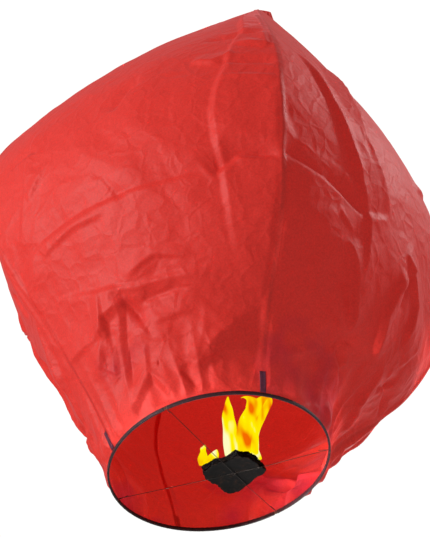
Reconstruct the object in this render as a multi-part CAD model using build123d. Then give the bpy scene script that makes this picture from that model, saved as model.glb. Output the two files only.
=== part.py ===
from build123d import *
import os
from math import asin, cos, degrees, radians, sin, sqrt

# Sky lantern. Four paper gores, glued to each other along four seams, make a bag that is open at
# the bottom. A bamboo hoop wrapped in a paper hem holds the mouth open. Two wires cross in the
# mouth and carry a stack of waxed fuel layers. +Z is up, -Y is the front, and the hem's underside
# is at Z = 0. The bag leans to one side of its hoop, as limp paper does. Lengths are in mm and
# angles in degrees, counted from +X.

# Hoop and hem
HOOP_RADIUS = 150.0  # to the middle of the bamboo strip
STRIP_THICK = 1.2
STRIP_TALL = 4.0
HEM_WALL = 1.0  # glued paper all round the strip
SCARF_SLIT = 0.2  # between the strip's two tapered ends
SCARF_ANGLE = 96.0  # where round the hoop the ends meet
SCARF_SLOPE = 68.0  # the slit's turn from square across the strip
SPLICE_LENGTH = 26.0  # of the thread wrapped over the scarf
SPLICE_WALL = 0.3

# Bag
BAG_HEIGHT = 905.0  # hem's underside to the crown's top
BAG_RADIUS = 356.0  # axis to a seam, at the widest level
PAPER = 1.0  # stand-in for tissue paper
SPANS = 16  # straight stretches from mouth to crown
SEAM_AT_MOUTH = -62.0  # the front seam's place round the hoop
SEAM_TWIST = -20.0  # how far the seams turn from mouth to crown
LEAN = 203.0  # how far the crown stands to the +X side of the hoop's middle
LEAN_POWER = 1.55  # above 1, the lean grows towards the top
TILT_SHARE = 1.3  # the upper levels' slope, as a share of the lean's mean slope
TILT_FULL_AT = 0.2  # share of the height over which the levels take up that slope
BULGE_BELLY = 0.15  # a gore's bulge past its chord, as a share of the seam radius
BULGE_CROWN = 0.05
BELLY_POWER = 0.7  # below 1, the gores go flat soon above the mouth
BULGE_ROUND = 1 - sqrt(0.5)  # the bulge that makes four gores a circle, at the mouth

# The seam line's radius and height between mouth and crown, as shares of the radius and height
SEAM_LINE = [(0.54, 0.10), (0.84, 0.25), (1.0, 0.46), (0.73, 0.68), (0.39, 0.84)]

# Crown tab: the gore points pinched to a flat fin
CROWN_RADIUS = 40.0
CROWN_HEIGHT = 48.0
CROWN_WAIST = (25.0, 15.0, 0.45)  # half width, half depth, share of its height
CROWN_TOP = (14.0, 2.5)  # half width, half depth

# Seam tabs: a second layer glued over each seam's foot
TAB_WIDTH = 8.0
TAB_TALL = 27.0
TAB_THICK = 0.6
TAB_REACH = 60.0  # how far its cutter goes in and out from the hem's face

# Wires and tie
WIRE = 0.8
WIRE_ENDS = {"cross_wire_a": (-112.0, 64.0), "cross_wire_b": (164.0, 5.5)}
WIRE_SLACK = 0.1  # between a wire's end loop and the strip
WIRE_GAP = 0.05  # between the two wires where they cross, and under them to the tie
WIRE_LEVEL = 2.0  # height of the lower wire's middle under the pad
WIRE_PAST_PAD = 10.0  # level run of each wire past the pad's side
WIRE_BEND = 5.0  # where the level run meets the rise to the hoop
LOOP_PITCH = 1.0  # from a loop's start to its tail, along the strip
TAIL_LENGTH = 14.0
BEND = 0.55  # inner corners of the loops
NOTCH = 4.6  # bare strip between the hem's ends at each loop
TIE_SPREAD = 3.2  # from the crossing to each prong
TIE_PROUD = 4.0  # the prongs' height above the pad
TIE_BEND = 1.0

# Fuel pad
PAD_SIDE = 70.0
PAD_TURN = 58.0
PAD_CORNER = 5.0
LAYERS = 5
LAYER_THICK = 2.2
LAYER_INSET = (0.0, 1.4, 0.6, 1.8, 1.1)  # how much smaller than the lowest layer, from below
LAYER_SKEW = (0.0, 1.5, -1.2, 2.2, -0.8)
PAD_REST_GAP = 0.3  # over the upper wire
PRONG_SLACK = 0.4  # round each prong, in the layers' holes

GORES = ("front_right", "back_right", "back_left", "front_left")
SIDES = ("front", "right", "back", "left")

HEM_TALL = STRIP_TALL + 2 * HEM_WALL
HEM_THICK = STRIP_THICK + 2 * HEM_WALL
HEM_OUTER = HOOP_RADIUS + HEM_THICK / 2
CROWN_FOOT = BAG_HEIGHT - CROWN_HEIGHT


def around(angle, radius, height=0.0):
    """The point at this angle and radius from the hoop's axis."""
    return Vector(radius * cos(radians(angle)), radius * sin(radians(angle)), height)


def ring(thick, tall, start=0.0, turn=360.0):
    """A rectangular section, centred on the strip's, turned about the hoop's axis."""
    section = Plane.XZ * Pos(HOOP_RADIUS, HEM_TALL / 2) * Rectangle(thick, tall)
    return Rot(0, 0, start) * revolve(section, Axis.Z, turn)


# The bag's levels. share runs from 0 at the hem to 1 at the crown's foot.
def seam_line():
    points = [(HEM_OUTER, HEM_TALL)]
    points += [(BAG_RADIUS * r, BAG_HEIGHT * z) for r, z in SEAM_LINE]
    points += [(CROWN_RADIUS, CROWN_FOOT)]
    return Spline(*points)


PROFILE = seam_line()


def level(share):
    """The plane of one level of the bag, its seam radius, its first seam's angle, its bulge."""
    at = PROFILE @ share
    up = (at.Y - HEM_TALL) / (BAG_HEIGHT - HEM_TALL)
    slope = TILT_SHARE * LEAN / BAG_HEIGHT * min(up / TILT_FULL_AT, 1.0)
    middle = (LEAN * up**LEAN_POWER, 0, at.Y)
    plane = Plane(middle, x_dir=(1, 0, -slope), z_dir=(slope, 0, 1))
    belly = min(up / SEAM_LINE[2][1], 1.0)
    above = max((up - SEAM_LINE[2][1]) / (1 - SEAM_LINE[2][1]), 0.0)
    bulge = BULGE_ROUND + (BULGE_BELLY - BULGE_ROUND) * belly**BELLY_POWER
    bulge += (BULGE_CROWN - BULGE_BELLY) * above
    return plane, at.X, SEAM_AT_MOUTH + SEAM_TWIST * up, bulge


def gore_arc(number, share, out):
    """One gore's arc at a level, moved outwards by out. Its ends stay on the seams' mitres."""
    plane, radius, first, bulge = level(share)
    chord, rise = radius * sqrt(2), radius * bulge
    round_it = (chord**2 / 4 + rise**2) / (2 * rise)
    mitre = cos(radians(45 - degrees(asin(chord / 2 / round_it))))
    start = first + 90 * number
    end_radius = radius + out / mitre
    middle_radius = radius * sqrt(0.5) + rise + out
    places = [(start, end_radius), (start + 45, middle_radius), (start + 90, end_radius)]
    return ThreePointArc(*[plane.from_local_coords(around(a, r)) for a, r in places])


def gore_strip(number, share, inner, outer):
    """A gore's section at a level, between two distances from its outer face."""
    low, high = gore_arc(number, share, inner), gore_arc(number, share, outer)
    ends = [Line(low @ 0, high @ 0), Line(low @ 1, high @ 1)]
    return Face(Wire([low, high, *ends]))


def skin(number, inner, outer, first=0, last=SPANS):
    """A gore's sheet, ruled from level to level, so that neighbours meet along the same lines."""
    strips = [gore_strip(number, i / SPANS, inner, outer) for i in range(first, last + 1)]
    return loft(strips, ruled=True)


def crown_tab():
    """Three flattened outlines on the crown's levels, ruled into a pinched fin."""
    plane, _, first, _ = level(1.0)
    foot = Wire([gore_arc(number, 1.0, 0.0) for number in range(4)])
    outlines = [Face(foot)]
    for wide, deep, rise in (CROWN_WAIST, (*CROWN_TOP, 1.0)):
        reach = (deep, wide, deep, wide)  # the front seam first
        corners = [around(first + 90 * i, r, rise * CROWN_HEIGHT) for i, r in enumerate(reach)]
        outlines.append(Face(Polyline(*[plane.from_local_coords(c) for c in corners], close=True)))
    return loft(outlines, ruled=True)


def seam_tab(number):
    """A double layer over the foot of the seam where this gore starts."""
    angle = level(0.0)[2] + 90 * number
    cutter = Rot(0, 0, angle) * Pos(HEM_OUTER, 0, HEM_TALL + TAB_TALL / 2)
    cutter *= Box(2 * TAB_REACH, TAB_WIDTH, TAB_TALL)
    halves = [skin(side % 4, 0.0, TAB_THICK, last=1) & cutter for side in (number - 1, number)]
    return halves[0] + halves[1]


# Hoop, splice and hem
def bamboo_hoop():
    slit = Rot(0, 0, SCARF_ANGLE) * Pos(HOOP_RADIUS, 0, HEM_TALL / 2) * Rot(0, 0, SCARF_SLOPE)
    length = 2 * STRIP_THICK / cos(radians(SCARF_SLOPE))
    return ring(STRIP_THICK, STRIP_TALL) - slit * Box(length, SCARF_SLIT, HEM_TALL)


def splice_wrap():
    turn = degrees(SPLICE_LENGTH / HOOP_RADIUS)
    start = SCARF_ANGLE - turn / 2
    wall = 2 * SPLICE_WALL
    whole = ring(STRIP_THICK + wall, STRIP_TALL + wall, start, turn)
    return whole - ring(STRIP_THICK, STRIP_TALL)


def hem(start, end):
    """The paper round the hoop, from one wire's loop to the next."""
    clear = degrees(NOTCH / 2 / HOOP_RADIUS)
    band = ring(HEM_THICK, HEM_TALL, start + clear, end - start - 2 * clear)
    return band - ring(STRIP_THICK, STRIP_TALL) - splice_wrap()


# Wires: each runs from loop to loop, and level under the pad
def crossing():
    """Where the two wires cross, seen from above."""
    lines = [Line(*[around(a, HOOP_RADIUS) for a in ends]) for ends in WIRE_ENDS.values()]
    (p, q), (r, s) = [(line @ 0, line @ 1) for line in lines]
    one, two = q - p, s - r
    along = ((r - p).X * two.Y - (r - p).Y * two.X) / (one.X * two.Y - one.Y * two.X)
    return p + one * along


def cross_wire(ends, middle_height):
    """Loop, run, loop. A loop goes over, down and under the strip, and its tail lies by the run."""
    start, end = [around(a, HOOP_RADIUS) for a in ends]
    along = (end - start).normalized()
    reach = STRIP_THICK / 2 + WIRE / 2 + WIRE_SLACK
    top = HEM_TALL / 2 + STRIP_TALL / 2 + WIRE / 2 + WIRE_SLACK / 2
    low = HEM_TALL / 2 - STRIP_TALL / 2 - WIRE / 2 - WIRE_SLACK / 2
    level_half = PAD_SIDE / 2 + WIRE_PAST_PAD
    loop = [
        (reach + TAIL_LENGTH, LOOP_PITCH, top),
        (reach, LOOP_PITCH, top - WIRE),
        (reach, LOOP_PITCH, low),
        (-reach, LOOP_PITCH / 2, low),
        (-reach, 0, top),
        (reach, 0, top),
    ]

    def places(at):
        inward = at.normalized() * -1
        side = Vector(0, 0, 1).cross(inward)
        return [at + inward * a + side * b + Vector(0, 0, z) for a, b, z in loop]

    cross = crossing()
    flat = [cross - along * level_half, cross + along * level_half]
    route = places(start)
    route += [Vector(p.X, p.Y, middle_height) for p in flat]
    route += places(end)[::-1]
    bends = [BEND] * 5 + [WIRE_BEND] * 2 + [BEND] * 5
    path = FilletPolyline(*route, radius=bends)
    section = Plane(path @ 0, z_dir=path % 0) * Circle(WIRE / 2)
    return sweep(section, path, transition=Transition.ROUND)


UPPER_WIRE = WIRE_LEVEL + WIRE + WIRE_GAP
PAD_FOOT = UPPER_WIRE + WIRE / 2 + PAD_REST_GAP
PAD_TOP = PAD_FOOT + LAYERS * LAYER_THICK


def prong_places():
    """The tie's two prongs, between the four arms of the crossing."""
    arms = [sum(ends) / 2 + 90 for ends in WIRE_ENDS.values()]
    between = sum(arms) / 2
    return [crossing() + around(between + turn, TIE_SPREAD) for turn in (0, 180)]


def fuel_tie():
    """A U of wire that hugs the crossing from below, with its prongs up through the pad."""
    low = WIRE_LEVEL - WIRE - WIRE_GAP
    a, b = prong_places()
    top = PAD_TOP + TIE_PROUD
    route = [Vector(p.X, p.Y, z) for p, z in ((a, top), (a, low), (b, low), (b, top))]
    path = FilletPolyline(*route, radius=TIE_BEND)
    return sweep(Plane(path @ 0, z_dir=path % 0) * Circle(WIRE / 2), path)


def fuel_layer(number):
    side = PAD_SIDE - LAYER_INSET[number]
    outline = RectangleRounded(side, side, PAD_CORNER)
    at = crossing() + Vector(0, 0, PAD_FOOT + number * LAYER_THICK)
    plate = Pos(at) * Rot(0, 0, PAD_TURN + LAYER_SKEW[number]) * extrude(outline, LAYER_THICK)
    hole = Cylinder(WIRE / 2 + PRONG_SLACK, 2 * (PAD_TOP + TIE_PROUD))
    for place in prong_places():
        plate -= Pos(place) * hole
    return plate


def all_parts():
    parts = {"hoop": bamboo_hoop(), "hoop_splice_wrap": splice_wrap(), "crown_tab": crown_tab()}
    for number, name in enumerate(GORES):
        parts["gore_" + name] = skin(number, -PAPER, 0.0)
    loops = sorted(angle for ends in WIRE_ENDS.values() for angle in ends)
    for number, name in enumerate(SIDES):
        parts["seam_tab_" + name] = seam_tab(number)
        following = loops[number + 1] if number < 3 else loops[0] + 360
        parts["hem_" + name] = hem(loops[number], following)
    for (name, ends), height in zip(WIRE_ENDS.items(), (WIRE_LEVEL, UPPER_WIRE)):
        parts[name] = cross_wire(ends, height)
    parts["fuel_tie"] = fuel_tie()
    for number in range(LAYERS):
        parts[f"fuel_layer_{number + 1}"] = fuel_layer(number)
    return parts


def main():
    parts = all_parts()
    box = Compound(children=[Compound(p.solids()) for p in parts.values()]).bounding_box()
    shift = Vector(-box.center().X, -box.center().Y, 0)
    os.makedirs("parts", exist_ok=True)
    for name, shape in parts.items():
        moved = Pos(shift) * shape
        solids = moved.solids()
        export_step(solids[0] if len(solids) == 1 else Compound(solids), f"parts/{name}.step")
    print("size", [round(v, 2) for v in box.size])
    print("hoop middle", [round(v, 3) for v in shift])
    print("pad middle", [round(v, 3) for v in crossing() + shift], "from", PAD_FOOT, "to", PAD_TOP)
    crown = level(1.0)[0].origin + shift
    print("crown foot", [round(v, 3) for v in crown])
    for name in GORES:
        skin_area = parts["gore_" + name].volume / PAPER
        print("gore", name, "area in square metres", round(skin_area / 1e6, 4))
    print("seam length", round(PROFILE.length, 1))


main()
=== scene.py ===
# %% [markdown]
# # A red paper sky lantern
# A sky lantern is a bag of thin tissue paper with a bamboo hoop in its mouth and a burning pad hung
# on two wires. The metal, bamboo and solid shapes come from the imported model, called the frame here.
# This script adds what a solid model can't show: creased paper, burnt layers, flame and light.

# %% Load the frame
import math
import random

import bmesh
import bpy
import numpy as np
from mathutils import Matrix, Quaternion, Vector, geometry, kdtree, noise
from mathutils.bvhtree import BVHTree


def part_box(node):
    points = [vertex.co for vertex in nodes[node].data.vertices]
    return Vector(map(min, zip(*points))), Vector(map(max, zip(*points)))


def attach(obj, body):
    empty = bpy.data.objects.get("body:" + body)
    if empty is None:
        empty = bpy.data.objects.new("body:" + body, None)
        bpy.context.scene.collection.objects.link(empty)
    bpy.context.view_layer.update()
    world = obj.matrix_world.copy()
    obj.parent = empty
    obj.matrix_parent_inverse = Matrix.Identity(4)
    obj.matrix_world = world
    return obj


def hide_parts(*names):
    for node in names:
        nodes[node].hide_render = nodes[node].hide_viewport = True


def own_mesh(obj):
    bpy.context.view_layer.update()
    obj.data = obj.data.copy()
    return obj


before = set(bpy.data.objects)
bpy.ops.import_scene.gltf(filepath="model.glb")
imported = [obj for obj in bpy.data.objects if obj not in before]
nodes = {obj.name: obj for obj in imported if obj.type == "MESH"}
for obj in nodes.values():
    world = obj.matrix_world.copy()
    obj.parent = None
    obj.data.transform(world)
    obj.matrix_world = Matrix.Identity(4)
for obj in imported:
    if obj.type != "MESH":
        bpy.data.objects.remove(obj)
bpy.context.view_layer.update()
MM = 0.001

# %% [markdown]
# ## Landmarks
# Everything is placed from the frame. The hoop is a full circle, so the middle of its box is the
# middle of the mouth. The lowest fuel layer gives the pad's middle, and the hem's top is where the
# paper leaves the hoop.


# %% Landmarks
def middle_of(node):
    """The middle of a frame node's box."""
    low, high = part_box(node)
    return (low + high) / 2


mouth = middle_of("hoop")
pad_middle = middle_of("fuel_layer_1")
pad_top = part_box("fuel_layer_5")[1].z
print("mouth at", [round(v, 4) for v in mouth], "pad at", [round(v, 4) for v in pad_middle])

# %% [markdown]
# ## Camera
# The lantern has just been let go, so it is seen from below: the camera stands 2.5 m from the mouth
# and 36 degrees under it, and looks up through a long lens, held a little tilted.

# %% Camera
CAMERA_DISTANCE = 2.526
CAMERA_BELOW = math.radians(36.3)
CAMERA_LENS = 125.4
TURN_LEFT = math.radians(-0.9)
TURN_UP = math.radians(5.9)
TILT = math.radians(10.0)

camera = bpy.data.objects.new("camera", bpy.data.cameras.new("camera"))
bpy.context.scene.collection.objects.link(camera)
bpy.context.scene.camera = camera
camera.data.lens = CAMERA_LENS
camera.data.clip_start = 0.05
camera.data.clip_end = 100
back = Vector((0, -math.cos(CAMERA_BELOW), -math.sin(CAMERA_BELOW)))
camera.location = mouth + back * CAMERA_DISTANCE
camera.rotation_mode = "QUATERNION"
camera.rotation_quaternion = (
    (-back).to_track_quat("-Z", "Y")
    @ Quaternion((0, 1, 0), TURN_LEFT)
    @ Quaternion((1, 0, 0), TURN_UP)
    @ Quaternion((0, 0, 1), -TILT)
)

# %% [markdown]
# ## Studio
# The lantern hangs in bright, even air. A pale world lights it from everywhere, and soft lamps on two
# sides and behind give it a bright side, a dark side and light that comes through the paper. The last
# lamp is a narrow beam into the mouth. Each is written as its place, the height it aims at, its size
# in metres, its watts and its spread in degrees. The floor is far below, because the camera looks up
# from under the mouth and a near floor would hide the lantern.


# %% Colours and nodes
def linear(code, alpha=1.0):
    """A colour as Blender needs it, from the hex code that a paint program shows."""
    shown = [int(code[i : i + 2], 16) / 255 for i in (1, 3, 5)]
    return [c / 12.92 if c <= 0.04045 else ((c + 0.055) / 1.055) ** 2.4 for c in shown] + [alpha]


def add_node(tree, kind, settings=(), **inputs):
    """Adds a node, sets its own settings, and gives each named input a value or a link."""
    made = tree.nodes.new(kind)
    for name, value in dict(settings).items():
        setattr(made, name, value)
    for name, value in inputs.items():
        socket = made.inputs[int(name[1:])] if name[0] == "_" else made.inputs[name.replace("_", " ")]
        if isinstance(value, bpy.types.NodeSocket):
            tree.links.new(value, socket)
        else:
            socket.default_value = value
    return made


# %% World, floor and lamps
WORLD_COLOUR = "#FAFAF8"
WORLD_SEEN = 1.1
WORLD_LIGHT = 0.46
FLOOR_BELOW = -8.0
FLOOR_SIDE = 60.0
FLOOR_GLOW = 0.25
LAMPS = {
    "key_lamp": ((-2.8, -1.8, 0.7), 0.4, 0.8, 104.0, 180),
    "side_lamp": ((2.5, 0.45, 2.1), 0.4, 0.5, 44.0, 180),
    "back_lamp": ((0.2, 2.9, 0.3), 0.4, 1.4, 45.0, 180),
    "mouth_lamp": ((-1.5, -1.0, -1.1), -0.03, 0.08, 0.6, 9),
}

world = bpy.data.worlds.new("pale_air")
bpy.context.scene.world = world
world.use_nodes = True
world.node_tree.nodes["Background"].inputs["Color"].default_value = linear(WORLD_COLOUR)
seen = add_node(world.node_tree, "ShaderNodeLightPath").outputs["Is Camera Ray"]
strength = add_node(world.node_tree, "ShaderNodeMapRange", _0=seen, _3=WORLD_LIGHT, _4=WORLD_SEEN)
world.node_tree.links.new(strength.outputs[0], world.node_tree.nodes["Background"].inputs["Strength"])
bpy.context.scene.view_settings.view_transform = "Standard"


def finished(form, name, *materials, smooth=True):
    """A new object from a bmesh, at the origin, with its materials."""
    mesh = bpy.data.meshes.new(name)
    form.to_mesh(mesh)
    form.free()
    for material in materials:
        mesh.materials.append(material)
    if smooth:
        mesh.shade_smooth()
    made = bpy.data.objects.new(name, mesh)
    bpy.context.scene.collection.objects.link(made)
    return made


def studio():
    """The floor and the lamps, which aren't part of the lantern."""
    paint = bpy.data.materials.new("matt_studio_paint")
    paint.use_nodes = True
    paint.node_tree.nodes["Principled BSDF"].inputs["Base Color"].default_value = linear("#F2F1EE")
    paint.node_tree.nodes["Principled BSDF"].inputs["Roughness"].default_value = 0.9
    paint.node_tree.nodes["Principled BSDF"].inputs["Emission Color"].default_value = linear("#F2F1EE")
    paint.node_tree.nodes["Principled BSDF"].inputs["Emission Strength"].default_value = FLOOR_GLOW
    form = bmesh.new()
    bmesh.ops.create_grid(form, x_segments=1, y_segments=1, size=FLOOR_SIDE / 2)
    bmesh.ops.translate(form, verts=form.verts, vec=(0, 0, FLOOR_BELOW))
    finished(form, "floor", paint)
    for name, (place, aim, size, watts, spread) in LAMPS.items():
        lamp = bpy.data.lights.new(name, "AREA")
        lamp.shape = "DISK"
        lamp.size = size
        lamp.energy = watts
        lamp.spread = math.radians(spread)
        made = bpy.data.objects.new(name, lamp)
        bpy.context.scene.collection.objects.link(made)
        made.location = place
        made.rotation_mode = "QUATERNION"
        made.rotation_quaternion = (Vector((0, 0, aim)) - made.location).to_track_quat("-Z", "Y")
        made.visible_camera = False


studio()

# %% [markdown]
# ## The seams
# Four leaves of paper, called gores, are glued edge to edge, and the glued seams are what hold the
# bag's shape. The frame's gores meet along those lines, so the points that two neighbours share are
# the seam. Each seam has one point on every level of the bag, from the hem to the crown.

# %% Read the seams from the frame
GORES = ("front_right", "back_right", "back_left", "front_left")
SIDES = ("front", "right", "back", "left")
NEAR = 0.0001


def shared_points(one, two):
    """The places of the vertices that two frame nodes have in common."""
    tree = kdtree.KDTree(len(nodes[two].data.vertices))
    for vertex in nodes[two].data.vertices:
        tree.insert(vertex.co, vertex.index)
    tree.balance()
    return [v.co.copy() for v in nodes[one].data.vertices if tree.find(v.co)[2] < NEAR]


def level_groups(points, gap=0.008):
    """The points sorted from the mouth up, and parted where the height jumps."""
    points = sorted(points, key=lambda p: p.z)
    groups = [[points[0]]]
    for point in points[1:]:
        if point.z - groups[-1][-1].z > gap:
            groups.append([])
        groups[-1].append(point)
    return groups


def seam_lines():
    """For each seam, its outer point on every level, as an array of levels by three."""
    found = []
    for number, name in enumerate(GORES):
        before = GORES[number - 1]
        found.append(level_groups(shared_points("gore_" + before, "gore_" + name)))
    levels = len(found[0])
    middles = [sum((p for s in found for p in s[i]), Vector()) / sum(len(s[i]) for s in found)
               for i in range(levels)]
    return [np.array([max(s[i], key=lambda p: (p - middles[i]).length) for i in range(levels)])
            for s in found]


seams = seam_lines()
print("seams:", len(seams), "of", len(seams[0]), "levels, the first",
      round(float(np.linalg.norm(np.diff(seams[0], axis=0), axis=1).sum()), 3), "m long")

# %% [markdown]
# ## The bag's surface
# On every level a gore is an arc from seam to seam. Its middle is found by a ray from outside onto
# the frame's gore. A smooth curve through the levels then takes away the frame's flat bands, and the
# seams get a slight waver, because glued tissue is never quite straight.

# %% Smooth rows of arcs
ROWS = 400
COLUMNS = 200
SEAM_WAVER = 1.6 * MM
WAVER_LENGTH = 0.07


def through_levels(points, rows=ROWS):
    """Smooth curves through the level points, sampled in even steps."""
    last = len(points) - 1
    place = np.linspace(0, last, rows)
    index = np.minimum(place.astype(int), last - 1)
    t = (place - index)[:, None]
    padded = np.vstack([2 * points[0] - points[1], points, 2 * points[-1] - points[-2]])
    a, b, c, d = (padded[index + i] for i in range(4))
    return 0.5 * (2 * b + (c - a) * t + (2 * a - 5 * b + 4 * c - d) * t**2
                  + (3 * b - a - 3 * c + d) * t**3)


def middle_line(number):
    """The gore's outer middle on every level."""
    node = nodes["gore_" + GORES[number]]
    tree = BVHTree.FromPolygons([v.co for v in node.data.vertices],
                                [p.vertices for p in node.data.polygons])
    start, end = seams[number], seams[(number + 1) % 4]
    found = []
    for level in range(len(start)):
        centre = Vector(sum(s[level] for s in seams) / 4)
        chord = Vector(start[level] + end[level]) / 2
        out = (chord - centre).normalized()
        lift = Vector((0, 0, (level == 0) - (level == len(start) - 1))) * NEAR
        hit = tree.ray_cast(chord + out + lift, -out)[0]
        found.append(hit if hit else chord + out * 0.01)
    return np.array(found)


def wavered(line, seed):
    """The seam with a slight waver, which dies away at the hem and the crown."""
    share = np.linspace(0, 1, len(line))
    fade = np.clip(np.minimum(share, 1 - share) / 0.08, 0, 1)[:, None]
    sway = [noise.noise_vector(Vector(p) / WAVER_LENGTH + Vector((seed, 0, 0))) for p in line]
    return line + np.array(sway) * SEAM_WAVER * fade


def arcs(start, middle, end, columns):
    """Rows of arcs through three points each, as an array of rows by columns by three."""
    chord_middle = (start + end) / 2
    half = np.linalg.norm(end - start, axis=1, keepdims=True) / 2
    along = (end - start) / 2 / half
    rise = middle - chord_middle
    rise -= (rise * along).sum(1, keepdims=True) * along
    height = np.linalg.norm(rise, axis=1, keepdims=True)
    radius = (half**2 + height**2) / 2 / height
    reach = np.arcsin(np.clip(half / radius, 0, 1))
    angle = reach * np.linspace(-1, 1, columns)[None]
    return (chord_middle[:, None] + along[:, None] * (radius * np.sin(angle))[..., None]
            + (rise / height)[:, None] * (radius * np.cos(angle) - radius + height)[..., None])


edges = [wavered(through_levels(line), 7.0 * i) for i, line in enumerate(seams)]
plain = [arcs(edges[i], through_levels(middle_line(i)), edges[(i + 1) % 4], COLUMNS)
         for i in range(4)]


def outward(surface):
    """The unit direction away from the bag at every point of a sheet."""
    normal = np.cross(np.gradient(surface, axis=1), np.gradient(surface, axis=0))
    return normal / np.linalg.norm(normal, axis=2, keepdims=True)


def flat_pattern(surface):
    """Where each point lies on the cut sheet: metres from its middle line, and metres up."""
    steps = np.linalg.norm(np.diff(surface, axis=1), axis=2).sum(1)
    up = np.linalg.norm(np.diff(surface[:, COLUMNS // 2], axis=0), axis=1)
    across = steps[:, None] * np.linspace(-0.5, 0.5, surface.shape[1])[None]
    return across, np.repeat(np.concatenate([[0], np.cumsum(up)])[:, None], surface.shape[1], 1)


flats = [flat_pattern(surface) for surface in plain]
for name, (across, up) in zip(GORES, flats):
    print("cut of gore", name, round(float(across.max() * 2), 3), "by", round(float(up.max()), 3), "m")

# %% [markdown]
# ## Creases
# Tissue that has been folded for its packet keeps its creases: flat facets that meet in sharp lines,
# at every size from a hand's width down to a fingertip. A net of triangles over scattered points of
# random height is just that, so three such nets, coarse to fine, are laid over each cut sheet. The
# long folds that an eye picks out are drawn one by one, each with a steep and a gentle side.

# %% Nets of facets and single folds
LIMP_TOP = 0.3
NETS = ((0.160, 9 * MM), (0.066, 4.6 * MM), (0.024, 1.7 * MM))
EDGE_FADE = 10 * MM
LOOSE_FOLDS = 16
GATHER = 6.5 * MM
GATHER_REACH = 0.14


def facet_net(across, up, spacing, height, seed):
    """Heights over the cut sheet from a net of triangles between scattered points."""
    draw = random.Random(seed)
    half, tall = across.max() + spacing, up.max() + spacing
    points = []
    for row in range(int(2 * tall / spacing) + 1):
        for column in range(int(2 * half / spacing) + 1):
            x = column * spacing - half + draw.uniform(-0.45, 0.45) * spacing
            y = row * spacing - spacing + draw.uniform(-0.45, 0.45) * spacing
            points.append(Vector((x, y)))
    flat, _, faces = geometry.delaunay_2d_cdt(points, [], [], 0, 1e-6)[:3]
    net = [Vector((p.x, p.y, draw.uniform(-height, height))) for p in flat]
    tree = BVHTree.FromPolygons(net, faces)
    down = Vector((0, 0, -1))
    hits = [tree.ray_cast(Vector((x, y, 1)), down)[0] for x, y in zip(across.flat, up.flat)]
    return np.array([hit.z if hit else 0.0 for hit in hits]).reshape(across.shape)


def fold(across, up, path, height, steep, gentle):
    """A fold's height over the cut sheet, from its path in metres. A negative height is a valley."""
    path = np.array(path)
    total = np.linalg.norm(np.diff(path, axis=0), axis=1).sum()
    nearest = np.full(across.shape, 9.0)
    side, place, before = np.zeros(across.shape), np.zeros(across.shape), 0.0
    for start, end in zip(path, path[1:]):
        length = np.linalg.norm(end - start)
        (ax, ay), dx, dy = (end - start) / length, across - start[0], up - start[1]
        reach = np.clip(dx * ax + dy * ay, 0, length)
        distance = np.hypot(dx - reach * ax, dy - reach * ay)
        closer = distance < nearest
        nearest = np.where(closer, distance, nearest)
        side = np.where(closer, np.sign(dx * ay - dy * ax), side)
        place = np.where(closer, (before + reach) / total, place)
        before += length
    slope = np.clip(1 - nearest / np.where(side > 0, steep, gentle), 0, 1)
    taper = np.clip(np.minimum(place, 1 - place) / 0.3, 0, 1)
    return height * slope**1.2 * taper * (2 - taper)


# %% [markdown]
# Each fold below is written as its path in shares of the sheet, from the left seam to the right one
# and from the mouth to the crown as seen from outside, then its height and the widths of its steep
# and gentle sides in millimetres.

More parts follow.
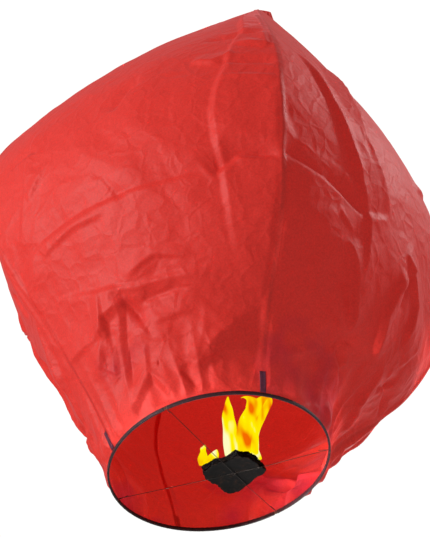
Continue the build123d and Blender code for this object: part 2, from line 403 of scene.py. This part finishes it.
# %% The drawn folds
FOLDS = {
    "front_left": [
        ([(0.97, 0.82), (0.92, 0.58), (0.86, 0.47), (0.82, 0.39), (0.84, 0.31), (0.89, 0.18)], 6, 10, 60),
        ([(0.01, 0.26), (0.28, 0.28), (0.50, 0.29), (0.83, 0.31)], -5, 10, 32),
        ([(0.16, 0.25), (0.30, 0.265), (0.46, 0.27)], 4, 8, 22),
        ([(0.10, 0.19), (0.30, 0.17), (0.49, 0.16), (0.80, 0.17)], 4, 26, 8),
        ([(0.80, 0.30), (0.88, 0.33), (1.00, 0.33)], -9, 8, 26),
        ([(0.84, 0.48), (1.00, 0.48)], -4, 6, 20),
        ([(0.84, 0.45), (1.00, 0.45)], 3, 12, 6),
        ([(0.24, 0.47), (0.19, 0.36), (0.10, 0.28)], 5, 8, 34),
        ([(0.19, 0.34), (0.30, 0.39)], 3, 6, 16),
        ([(0.00, 0.12), (0.21, 0.12), (0.32, 0.13)], 4, 8, 30),
        ([(0.46, 0.14), (0.68, 0.15)], -4, 7, 18),
        ([(0.50, 0.11), (0.68, 0.12)], 3, 7, 20),
        ([(0.15, 0.07), (0.30, 0.14), (0.42, 0.15)], 7, 12, 40),
        ([(0.42, 0.15), (0.36, 0.10), (0.30, 0.04)], -6, 10, 30),
        ([(0.22, 0.01), (0.43, 0.05), (0.52, 0.01)], 6, 10, 26),
        ([(0.60, 0.02), (0.78, 0.08), (0.95, 0.12)], 5, 12, 40),
    ],
    "front_right": [
        ([(0.00, 0.34), (0.16, 0.34), (0.32, 0.33)], -7, 8, 28),
        ([(0.10, 0.56), (0.18, 0.47), (0.22, 0.43), (0.33, 0.33)], 8, 9, 38),
        ([(0.26, 0.62), (0.30, 0.45), (0.34, 0.42), (0.43, 0.36)], 9, 36, 10),
        ([(0.43, 0.36), (0.33, 0.33), (0.35, 0.25)], 5, 10, 30),
        ([(0.26, 0.28), (0.33, 0.24), (0.43, 0.16)], 9, 9, 40),
        ([(0.12, 0.22), (0.21, 0.18), (0.42, 0.16)], 6, 9, 32),
        ([(0.53, 0.32), (0.53, 0.24), (0.62, 0.18)], 9, 10, 44),
        ([(0.52, 0.35), (0.67, 0.31), (0.71, 0.24)], 8, 10, 40),
        ([(0.08, 0.06), (0.20, 0.08), (0.34, 0.11)], 5, 10, 34),
        ([(0.38, 0.14), (0.48, 0.11), (0.56, 0.09)], -5, 8, 16),
        ([(0.70, 0.20), (0.80, 0.12), (0.95, 0.08)], 6, 12, 40),
    ],
    "back_right": [
        ([(0.05, 0.20), (0.30, 0.12), (0.45, 0.03)], 8, 9, 36),
        ([(0.22, 0.26), (0.50, 0.18), (0.66, 0.05)], -8, 10, 34),
        ([(0.45, 0.30), (0.72, 0.20), (0.85, 0.06)], 9, 9, 44),
        ([(0.10, 0.06), (0.45, 0.10), (0.90, 0.24)], -6, 8, 26),
        ([(0.04, 0.10), (0.16, 0.05), (0.28, 0.02)], 7, 9, 34),
    ],
    "back_left": [
        ([(0.05, 0.05), (0.25, 0.16), (0.45, 0.22)], 8, 9, 36),
        ([(0.30, 0.02), (0.40, 0.12), (0.62, 0.20)], -8, 10, 34),
        ([(0.55, 0.03), (0.62, 0.14), (0.75, 0.24)], 8, 9, 40),
        ([(0.15, 0.22), (0.50, 0.10), (0.85, 0.06)], -6, 8, 26),
        ([(0.70, 0.02), (0.85, 0.10), (0.96, 0.20)], 7, 9, 34),
    ],
}


def loose_folds(number):
    """Folds at random places, for the stretches that no drawn fold covers."""
    draw = random.Random(40 + number)
    for _ in range(LOOSE_FOLDS):
        u, v = draw.uniform(0.1, 0.9), 0.03 + 0.7 * draw.random() ** 1.6
        run, turn = draw.uniform(0.1, 0.3), draw.uniform(-1.2, 1.2)
        bend = draw.uniform(-0.03, 0.03)
        path = [(u, v), (u + run / 2 * math.cos(turn), v + run / 4 * math.sin(turn) + bend),
                (u + run * math.cos(turn), v + run / 2 * math.sin(turn))]
        path = [(min(max(a, 0.02), 0.98), min(max(b, 0.01), 0.97)) for a, b in path]
        yield path, draw.choice((-1, 1)) * draw.uniform(2, 6), draw.uniform(6, 12), draw.uniform(16, 40)


def creases(number):
    """All the heights of one gore's paper over its plain arc."""
    name, (across, up) = GORES[number], flats[number]
    share_up = up / up.max()
    width = 2 * across[:, -1:]
    total = np.zeros(across.shape)
    for layer, (spacing, height) in enumerate(NETS):
        if not (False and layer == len(NETS) - 1):
            total += facet_net(across, up, spacing, height, 10 * number + layer)
    total *= 1 + (LIMP_TOP - 1) * np.minimum(share_up / 0.6, 1)
    for path, height, steep, gentle in FOLDS.get(name, []) + list(loose_folds(number)):
        rows = [min(int(v * (ROWS - 1)), ROWS - 1) for _, v in path]
        metres = [((u - 0.5) * width[row, 0], up[row, 0]) for (u, _), row in zip(path, rows)]
        total += fold(across, up, metres, height * MM, steep * MM, gentle * MM)
    spokes = [[noise.noise((9 * a + 20 * number, 3 * b, 0.5)) for a, b in zip(x, y)]
              for x, y in zip(across / width, share_up)]
    total += GATHER * (0.35 - np.abs(spokes)) * 2 * np.clip(1 - up / GATHER_REACH, 0, 1)
    to_edge = np.minimum(width / 2 - np.abs(across), np.minimum(up, up.max() - up))
    fade = np.clip(to_edge / EDGE_FADE, 0, 1)
    return total * fade * fade * (3 - 2 * fade)


# %% [markdown]
# ## Tissue paper
# The paper is dyed tissue with one glazed side. It lets about a third of the light through, so it
# is a reflecting and a translucent shader mixed. The dye is orange-red. The purple-red patches near
# the mouth are painted shade, standing in for the light that overlapping layers hold back. Crinkles
# under a millimetre high are bump: cells of a few centimetres with sharp borders, then finer noise.

# %% The tissue material
SHEET_RED = "#DC3127"
# Purple-red of the patches near the mouth: painted shade, not dye.
PAINTED_SHADE_RED = "#B41C34"
LIGHT_THROUGH = 0.35
CRINKLE_CELL = 26 * MM
FIBRE = 2.5 * MM


def tissue(name, light, deep, through):
    """Dyed tissue paper: light is its red, deep the red of its painted-shade patches, through its share of light let
    through.
    """
    material = bpy.data.materials.new(name)
    material.use_nodes = True
    tree = material.node_tree
    skin = tree.nodes["Principled BSDF"]
    place = add_node(tree, "ShaderNodeTexCoord").outputs["Object"]
    patches = add_node(tree, "ShaderNodeTexNoise", Vector=place, Scale=1 / 0.12, Detail=3.0, Roughness=0.55)
    height = add_node(tree, "ShaderNodeSeparateXYZ", Vector=place).outputs["Z"]
    # Near the mouth, noise patches turn to the purple-red: painted shade.
    low = add_node(tree, "ShaderNodeMapRange", _0=height, _1=0.0, _2=0.3, _3=0.08, _4=-0.3)
    painted_shade_share = add_node(tree, "ShaderNodeMath", {"operation": "ADD"}, _0=patches.outputs["Fac"], _1=low.outputs[0])
    painted_shade_share = add_node(tree, "ShaderNodeMapRange", _0=painted_shade_share.outputs[0], _1=0.54, _2=0.76, _3=0.0, _4=1.0)
    colour = add_node(tree, "ShaderNodeMix", {"data_type": "RGBA"}, Factor=painted_shade_share.outputs[0])
    colour.inputs[6].default_value = linear(light)
    colour.inputs[7].default_value = linear(deep)
    fibres = add_node(tree, "ShaderNodeTexNoise", Vector=place, Scale=1 / FIBRE, Detail=2.0)
    shade = add_node(tree, "ShaderNodeMapRange", _0=fibres.outputs["Fac"], _1=0.3, _2=0.7, _3=0.9, _4=1.08)
    dyed = add_node(tree, "ShaderNodeVectorMath", {"operation": "SCALE"}, _0=colour.outputs[2], _3=shade.outputs[0])
    cells = add_node(tree, "ShaderNodeTexVoronoi", {"feature": "DISTANCE_TO_EDGE"}, Scale=1 / CRINKLE_CELL)
    bent = add_node(tree, "ShaderNodeTexNoise", Vector=place, Scale=1 / 0.04, Detail=2.0)
    moved = add_node(tree, "ShaderNodeVectorMath", {"operation": "SCALE"}, _0=bent.outputs["Color"], _3=0.03)
    placed = add_node(tree, "ShaderNodeVectorMath", {"operation": "ADD"}, _0=place, _1=moved.outputs[0])
    tree.links.new(placed.outputs[0], cells.inputs["Vector"])
    ridge = add_node(tree, "ShaderNodeMapRange", _0=cells.outputs["Distance"], _1=0.0, _2=0.25, _3=1.0, _4=0.0)
    fine = add_node(tree, "ShaderNodeTexNoise", Vector=place, Scale=1 / 0.009, Detail=4.0, Roughness=0.6)
    relief = add_node(tree, "ShaderNodeMath", {"operation": "MULTIPLY_ADD"}, _0=fine.outputs["Fac"], _1=0.8,
                      _2=ridge.outputs[0])
    bump = add_node(tree, "ShaderNodeBump", Strength=0.8, Distance=0.7 * MM, Height=relief.outputs[0])
    tree.links.new(dyed.outputs[0], skin.inputs["Base Color"])
    tree.links.new(bump.outputs[0], skin.inputs["Normal"])
    skin.inputs["Roughness"].default_value = 0.58
    skin.inputs["IOR"].default_value = 1.42
    skin.inputs["Sheen Weight"].default_value = 0.3
    skin.inputs["Sheen Roughness"].default_value = 0.35
    skin.inputs["Sheen Tint"].default_value = linear("#F5A7AE")
    glow = add_node(tree, "ShaderNodeBsdfTranslucent", Color=dyed.outputs[0], Normal=bump.outputs[0])
    mixed = add_node(tree, "ShaderNodeMixShader", _0=through, _1=skin.outputs[0], _2=glow.outputs[0])
    tree.links.new(mixed.outputs[0], tree.nodes["Material Output"].inputs["Surface"])
    return material


red_tissue = tissue("dyed_tissue_with_painted_shade", SHEET_RED, PAINTED_SHADE_RED, LIGHT_THROUGH)

# %% [markdown]
# ## The four gores
# A gore is one sheet. It starts as a flat grid, each point is put on its arc, and the creases lift it
# outwards. Past its second seam the sheet runs on a few millimetres over its neighbour: that is the
# lap where the glue is.

# %% Make the gores
LAP_COLUMNS = 3
LAP_LIFT = 0.4 * MM
TUCK = 1.2 * MM


def sheet_of_points(name, points, material):
    """A grid whose points are put where an array of rows by columns says."""
    rows, columns = points.shape[:2]
    form = bmesh.new()
    bmesh.ops.create_grid(form, x_segments=columns - 1, y_segments=rows - 1, size=0.5)
    made = finished(form, name, material)
    flat = np.zeros(len(made.data.vertices) * 3)
    made.data.vertices.foreach_get("co", flat)
    column = np.rint((flat[0::3] + 0.5) * (columns - 1)).astype(int)
    row = np.rint((flat[1::3] + 0.5) * (rows - 1)).astype(int)
    made.data.vertices.foreach_set("co", points[row, column].ravel())
    made.data.update()
    return made


def on_the_bag(piece, *replaced, slot="red_tissue"):
    """Hides the frame parts it replaces and fixes a paper piece to the hoop's body, with a mesh of its own."""
    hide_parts(*replaced)
    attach(piece, "hoop_and_bag")
    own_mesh(piece)


sheets = [plain[i] + outward(plain[i]) * creases(i)[..., None] for i in range(4)]
for sheet in sheets:
    sheet[0, :, 2] -= TUCK
for number, name in enumerate(GORES):
    following = sheets[(number + 1) % 4]
    lap = following[:, 1 : LAP_COLUMNS + 1] + outward(following)[:, 1 : LAP_COLUMNS + 1] * LAP_LIFT
    points = np.concatenate([sheets[number], lap], axis=1)
    gore = sheet_of_points("paper_gore_" + name, points, red_tissue)
    across, up = flats[number]
    on_the_bag(gore, "gore_" + name)

# %% [markdown]
# ## The crown
# At the top the four gore points are gathered, pinched flat and glued, which leaves a small flat
# fin. It starts as a ring of points along the gores' top rows, is drawn up in steps, and flattens on
# the way. Pleats run up it, deepest at its waist, where the pinch gathers the paper.

# %% A ring drawn up in steps
CROWN_STEPS = 22
CROWN_RING = 96
FIN_HALF_WIDTH = 14 * MM
FIN_HALF_DEPTH = 2.2 * MM
PLEATS = 13
PLEAT_DEPTH = 1.3 * MM


def drawn_up(segments, steps):
    """A bmesh tube of rings with a closed bottom and top, and the rings' vertices in order."""
    form = bmesh.new()
    bmesh.ops.create_circle(form, segments=segments, radius=1)
    rings = [sorted(form.verts, key=lambda v: math.atan2(v.co.y, v.co.x))]
    border = form.edges[:]
    bmesh.ops.contextual_create(form, geom=border)
    for _ in range(steps):
        grown = bmesh.ops.extrude_edge_only(form, edges=border)["geom"]
        border = [e for e in grown if isinstance(e, bmesh.types.BMEdge) and e.is_boundary]
        new = {v for e in border for v in e.verts}
        above = {e.other_vert(v): v for v in new for e in v.link_edges if e.other_vert(v) not in new}
        rings.append([above[v] for v in rings[-1]])
    bmesh.ops.contextual_create(form, geom=border)
    return form, rings


# %% Make the crown
def crown():
    """The pinched tip, from the gores' top rows to the flat fin."""
    top = np.concatenate([sheet[-1, :-1] for sheet in sheets])
    foot = top[np.linspace(0, len(top), CROWN_RING, endpoint=False).astype(int)]
    centre = foot.mean(0)
    up = np.cross(foot[CROWN_RING // 4] - foot[0], foot[CROWN_RING // 2] - foot[0])
    up /= np.linalg.norm(up)
    wide = foot[CROWN_RING // 4] - foot[3 * CROWN_RING // 4]
    wide /= np.linalg.norm(wide)
    deep = np.cross(up, wide)
    tall = (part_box("crown_tab")[1].z - centre[2]) / up[2] - 1 * MM
    angle = np.linspace(0, 2 * math.pi, CROWN_RING, endpoint=False)
    fin = (np.sin(angle) * FIN_HALF_WIDTH)[:, None] * wide - (np.cos(angle) * FIN_HALF_DEPTH)[:, None] * deep
    form, rings = drawn_up(CROWN_RING, CROWN_STEPS)
    for step, ring in enumerate(rings):
        share = step / CROWN_STEPS
        drawn = share**0.62
        pleat = PLEAT_DEPTH * math.sin(math.pi * share) ** 0.6
        for i, vert in enumerate(ring):
            out = foot[i] - centre
            out = out / np.linalg.norm(out)
            place = foot[i] * (1 - drawn) + (centre + fin[i]) * drawn
            wave = math.sin(PLEATS * angle[i] + 2.2 * math.sin(2 * angle[i]) + 1.5 * share)
            vert.co = Vector(place + up * (tall * share) + out * wave * pleat)
    bottom = min((f for f in form.faces if len(f.verts) > 4), key=lambda f: f.calc_center_median().z)
    bmesh.ops.delete(form, geom=[bottom], context="FACES_ONLY")
    bmesh.ops.recalc_face_normals(form, faces=form.faces)
    return finished(form, "paper_crown_fin", red_tissue)


crown_fin = crown()
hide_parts("crown_tab")
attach(crown_fin, "crown")
print("crown fin:", len(crown_fin.data.vertices), "points")

# %% [markdown]
# ## Solid materials
# Split bamboo is pale wood with a fine grain along the strip. The hem is doubled tissue with glue in
# it, slightly shiny; its almost black-red is partly the glue's own dark and partly painted shade, for
# the light that bamboo and doubled paper keep out. The wires are annealed iron, dull and sooty.
# The fuel is waxed paper burnt to char: black, with brown flecks that are painted glints.


# %% One function for speckled solids
def speckled(name, colours, spot, relief, roughness, metallic=0.0, stretch=(1, 1, 1), detail=4.0, gloss=0.5):
    """A material whose noise-driven colours and bump have the size of its real spots."""
    material = bpy.data.materials.new(name)
    material.use_nodes = True
    tree = material.node_tree
    skin = tree.nodes["Principled BSDF"]
    place = add_node(tree, "ShaderNodeTexCoord").outputs["Object"]
    place = add_node(tree, "ShaderNodeMapping", Vector=place, Scale=stretch).outputs[0]
    spots = add_node(tree, "ShaderNodeTexNoise", Vector=place, Scale=1 / spot, Detail=detail, Roughness=0.6)
    ramp = add_node(tree, "ShaderNodeValToRGB", Fac=spots.outputs["Fac"])
    stops = ramp.color_ramp.elements
    stops[0].position, stops[-1].position = 0.3, 0.7
    while len(stops) < len(colours):
        stops.new(0.3 + 0.4 * (len(stops) - 1) / (len(colours) - 1))
    for stop, colour in zip(stops, colours):
        stop.color = linear(colour)
    bump = add_node(tree, "ShaderNodeBump", Strength=0.8, Distance=relief, Height=spots.outputs["Fac"])
    tree.links.new(ramp.outputs["Color"], skin.inputs["Base Color"])
    tree.links.new(bump.outputs[0], skin.inputs["Normal"])
    skin.inputs["Roughness"].default_value = roughness
    skin.inputs["Metallic"].default_value = metallic
    skin.inputs["Specular IOR Level"].default_value = gloss
    return material


# The hem's near-black is partly glue and doubled paper, partly painted shade.
hem_paper_and_shade = speckled("glued_tissue_and_painted_shade", ("#16040A", "#22070E", "#310A16"), 4 * MM, 0.3 * MM, 0.6, gloss=0.3)
tab_paper = speckled("glued_tissue_tab", ("#330920", "#450D26", "#58122C"), 5 * MM, 0.3 * MM, 0.6, gloss=0.3)
bamboo = speckled("split_bamboo", ("#40291A", "#523723", "#66482C"), 3 * MM, 0.15 * MM, 0.55,
                  stretch=(1, 1, 6))
thread = speckled("cotton_thread", ("#A79A80", "#C4B79A", "#D9CDB2"), 0.8 * MM, 0.2 * MM, 0.85)
iron = speckled("annealed_iron_wire", ("#1B1716", "#2A2320", "#3B302A"), 1.5 * MM, 0.05 * MM, 0.55,
                metallic=0.8)
# The brown top of this ramp is painted glints on the black char.
char_with_glints = speckled("charred_paper_with_painted_glints", ("#020202", "#040303", "#070504", "#1C0E08"), 7 * MM, 1.2 * MM, 0.95,
                detail=8.0, gloss=0.1)
for node_name, material in (("hoop", bamboo), ("hoop_splice_wrap", thread), ("cross_wire_a", iron),
                            ("cross_wire_b", iron), ("fuel_tie", iron)):
    nodes[node_name].data.materials.clear()
    nodes[node_name].data.materials.append(material)

# %% [markdown]
# ## The hem
# The gores' feet are turned round the hoop and glued. A spin of a rounded section about the hoop's
# axis makes each stretch between two wire loops. The wrap is then pinched and swollen by noise, and
# small slanting puckers cross it, as paper has that was bent round too small a circle.

# %% Make the hem
HEM_SECTION = 14
HEM_STEP = 1.4 * MM
PUCKER = 0.28 * MM
PUCKER_LENGTH = 7 * MM


def turned_hem(node):
    """The paper wrapped round one stretch of the hoop."""
    low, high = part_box(node)
    places = [v.co - mouth for v in nodes[node].data.vertices]
    radii = [p.xy.length for p in places]
    inner, outer, tall = min(radii), max(radii), high.z - low.z
    heading = sum((p.xy.normalized() for p in places), Vector((0, 0)))
    facing = math.atan2(heading.y, heading.x)
    turns = [(math.atan2(p.y, p.x) - facing + math.pi) % (2 * math.pi) - math.pi for p in places]
    start, turn = facing + min(turns), max(turns) - min(turns)
    form = bmesh.new()
    bmesh.ops.create_circle(form, segments=HEM_SECTION, radius=1)
    for vert in form.verts:
        angle = math.atan2(vert.co.y, vert.co.x)
        square = [math.copysign(abs(c) ** 0.6, c) / 2 for c in (math.cos(angle), math.sin(angle))]
        radius = (inner + outer) / 2 + square[0] * (outer - inner) * 0.97
        vert.co = Vector((math.cos(start) * radius, math.sin(start) * radius,
                          (low.z + high.z) / 2 + square[1] * tall * 0.97))
        vert.co += Vector((mouth.x, mouth.y, 0))
    steps = int(turn * outer / HEM_STEP)
    bmesh.ops.spin(form, geom=form.verts[:] + form.edges[:], cent=mouth, axis=(0, 0, 1), angle=turn,
                   steps=steps, use_duplicate=False)
    bmesh.ops.holes_fill(form, edges=[e for e in form.edges if e.is_boundary], sides=HEM_SECTION)
    bmesh.ops.recalc_face_normals(form, faces=form.faces)
    form.normal_update()
    for vert in form.verts:
        p = vert.co - mouth
        along = math.atan2(p.y, p.x) * outer + 0.8 * p.z
        pucker = math.sin(along / PUCKER_LENGTH * 2 * math.pi + 4 * noise.noise(vert.co / 0.03))
        swell = noise.noise(vert.co / 0.006)
        lift = PUCKER * (0.5 * pucker + 0.8 * swell) - 0.6 * PUCKER
        vert.co += vert.normal * lift * (1 if vert.co.z > low.z + 1.5 * MM else 0.3)
    piece = finished(form, "paper_" + node, hem_paper_and_shade)
    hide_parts(node)
    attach(piece, "hoop_and_bag")
    return piece


for side in SIDES:
    print(turned_hem("hem_" + side).name, "made")

# %% [markdown]
# ## The seam tabs
# Over each seam's foot a small double layer is glued. It is cut from the same rows of points as the
# two gores beside it, lifted off them by its own thickness, so it follows their ridge.

# %% Make the tabs
TAB_COLUMNS = 4
TAB_LIFT = 0.9 * MM

for number, side in enumerate(SIDES):
    before, after = sheets[number - 1], sheets[number]
    out = np.concatenate([outward(before)[:, -TAB_COLUMNS - 1 :], outward(after)[:, 1 : TAB_COLUMNS + 1]], 1)
    rows = int(np.searchsorted(after[:, 0, 2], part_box("seam_tab_" + side)[1].z))
    points = np.concatenate([before[:, -TAB_COLUMNS - 1 :], after[:, 1 : TAB_COLUMNS + 1]], 1)
    spread = np.linspace(-1, 1, points.shape[1])[None, :, None]
    seam = points[:, TAB_COLUMNS : TAB_COLUMNS + 1]
    tab_half = 4 * MM
    reach = np.linalg.norm(points - seam, axis=2, keepdims=True)
    points = seam + (points - seam) * np.abs(spread) * tab_half / np.maximum(reach, 1e-6)
    piece = sheet_of_points("paper_seam_tab_" + side, (points + out * TAB_LIFT)[:rows], tab_paper)
    wall = piece.modifiers.new("doubled_paper", "SOLIDIFY")
    wall.thickness = 0.3 * MM
    on_the_bag(piece, "seam_tab_" + side, slot="tab_paper")

# %% [markdown]
# ## The burnt fuel pad
# The pad is a stack of waxed paper squares. Each burns back from its edges, worst at the front
# corner, and curls. A layer is a grid pulled into a ragged square, waved by noise and given its
# thickness by a Solidify modifier.

# %% Make the charred layers
LAYER_CELLS = 44
RAGGED = 2.6 * MM
BURNT_BACK = 10 * MM
HANGS_OUT = 5 * MM
CURL = 4.5 * MM


def square_of(node):
    """Middle, half side and turn of a square plate in the frame: the turn that boxes it tightest."""
    middle = middle_of(node)
    flat = np.array([(v.co - middle).xy for v in nodes[node].data.vertices])

    def size(turn):
        c, s = math.cos(turn), math.sin(turn)
        turned = flat @ np.array([[c, -s], [s, c]])
        return float(np.ptp(turned, axis=0).max())

    turn = min((math.radians(d / 2) for d in range(180)), key=size)
    return middle, size(turn) / 2, turn


def charred_layer(number):
    """One burnt square of the stack."""
    node = f"fuel_layer_{number}"
    middle, half, turn = square_of(node)
    low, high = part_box(node)
    form = bmesh.new()
    bmesh.ops.create_grid(form, x_segments=LAYER_CELLS, y_segments=LAYER_CELLS, size=1)
    for vert in form.verts:
        s, t = vert.co.x, vert.co.y
        rim = max(abs(s), abs(t))
        place = Vector((s, t, 0)) * half
        place *= 1 - 0.10 * (abs(s) * abs(t)) ** 3
        place.rotate(Quaternion((0, 0, 1), turn))
        reach = max(place.length, 1e-6)
        front = max(-place.y / reach - 0.75, 0) / 0.25
        rear = max(place.y / reach - 0.8, 0) / 0.2
        seed = Vector((number * 3.1, 0, 0))
        rough = noise.fractal(place / 0.014 + seed, 0.9, 2.1, 4) + 0.4 * noise.noise(place / 0.003 + seed)
        pull = rim**6 * (RAGGED * (rough - 0.5) - BURNT_BACK * front * (0.7 + 0.1 * number) + HANGS_OUT * rear)
        place += place / reach * pull
        wave = noise.fractal(place / 0.022 + seed, 1.0, 2.0, 3) * 0.9 * MM
        curl = rim**4 * CURL * (number - 1) / 4 * max(0.0, 0.4 + noise.noise(place / 0.03 + seed * 2))
        vert.co = middle + place + Vector((0, 0, wave + curl))
    piece = finished(form, f"charred_{node}", char_with_glints)
    wall = piece.modifiers.new("burnt_thickness", "SOLIDIFY")
    wall.thickness = (high.z - low.z) * 0.95
    wall.offset = 0
    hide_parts(node)
    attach(piece, "fuel_pad")


for number in range(1, 6):
    charred_layer(number)

# %% [markdown]
# ## The flames
# Burning wax vapour glows: nearly white where it is hottest, yellow outside and orange where it is
# still rich. It has no surface, so each tongue is a closed glowing skin, flattened and drawn up along
# a bent line to a thin tip. The tongues lean to the crown's side.

# %% Make the flames
FLAME_RING = 18
FLAME_STEPS = 26
FLAME_DEPTH = 0.45
TONGUES = {
    "low": [(-40, -11, 4, 5), (-39, -12, 14, 7), (-37, -12, 24, 4), (-36, -12, 30, 4), (-33, -12, 35, 1)],
    "low_skirt": [(-30, -14, 4, 10), (-24, -18, 10, 8), (-20, -20, 15, 4), (-18, -20, 18, 1)],
    "left": [(-1, -25, 2, 7), (1, -25, 24, 9), (5, -25, 48, 9), (6, -25, 70, 8), (8, -25, 88, 4), (10, -25, 100, 1)],
    "right": [(16, -20, 2, 11), (20, -20, 24, 12), (26, -20, 46, 12), (36, -20, 68, 13), (50, -20, 86, 11),
              (64, -20, 94, 8), (73, -20, 99, 2)],
    "right_tip": [(36, -20, 66, 9), (42, -20, 82, 10), (41, -20, 92, 7), (34, -20, 98, 4), (28, -20, 98, 1)],
    "right_core": [(30, -16, 2, 7), (34, -16, 24, 7), (38, -16, 44, 7), (46, -16, 64, 6), (54, -18, 80, 2)],
    "right_edge": [(36, -6, 0, 4), (36, -6, 20, 3), (41, -8, 40, 3), (50, -12, 62, 5), (61, -16, 82, 7), (67, -18, 92, 2)],
}


def burning_gas():
    """Glowing gas: colour only by place, stretched upwards as flames are."""
    material = bpy.data.materials.new("burning_wax_vapour")
    material.use_nodes = True
    tree = material.node_tree
    skin = tree.nodes["Principled BSDF"]
    place = add_node(tree, "ShaderNodeTexCoord").outputs["Object"]
    place = add_node(tree, "ShaderNodeMapping", Vector=place, Scale=(1, 1, 0.28)).outputs[0]
    heat = add_node(tree, "ShaderNodeTexNoise", Vector=place, Scale=1 / 0.017, Detail=1.0)
    ramp = add_node(tree, "ShaderNodeValToRGB", Fac=heat.outputs["Fac"])
    stops = ramp.color_ramp.elements
    stops[0].position, stops[1].position = 0.33, 0.43
    stops.new(0.55)
    stops.new(0.66)
    for stop, colour in zip(stops, ("#F46A00", "#FFD900", "#FFF000", "#FFFCC0")):
        stop.color = linear(colour)
    tree.links.new(ramp.outputs["Color"], skin.inputs["Emission Color"])
    skin.inputs["Emission Strength"].default_value = 1.0
    skin.inputs["Base Color"].default_value = linear("#000000")
    skin.inputs["Specular IOR Level"].default_value = 0.0
    return material


def tongue(name, stations, material):
    """A flattened skin along the stations: each is x, y, z and half width in mm from the pad."""
    line = through_levels(np.array(stations, float) * MM, FLAME_STEPS + 1)
    form, rings = drawn_up(FLAME_RING, FLAME_STEPS)
    origin = Vector((pad_middle.x, pad_middle.y, pad_top))
    for (x, y, z, half), ring in zip(line, rings):
        for i, vert in enumerate(ring):
            angle = 2 * math.pi * i / FLAME_RING
            half = max(half, 0.4 * MM)
            side = Vector((math.cos(angle) * half, math.sin(angle) * half * FLAME_DEPTH, 0))
            flicker = noise.noise_vector(Vector((x, y, z)) / 0.02 + side * 30) * 1.2 * MM
            vert.co = origin + Vector((x, y, z)) + side + flicker
    bmesh.ops.recalc_face_normals(form, faces=form.faces)
    piece = finished(form, "flame_" + name, material)
    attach(piece, "fuel_pad")
    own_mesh(piece)


gas = burning_gas()
for name, stations in TONGUES.items():
    tongue(name, stations, gas)
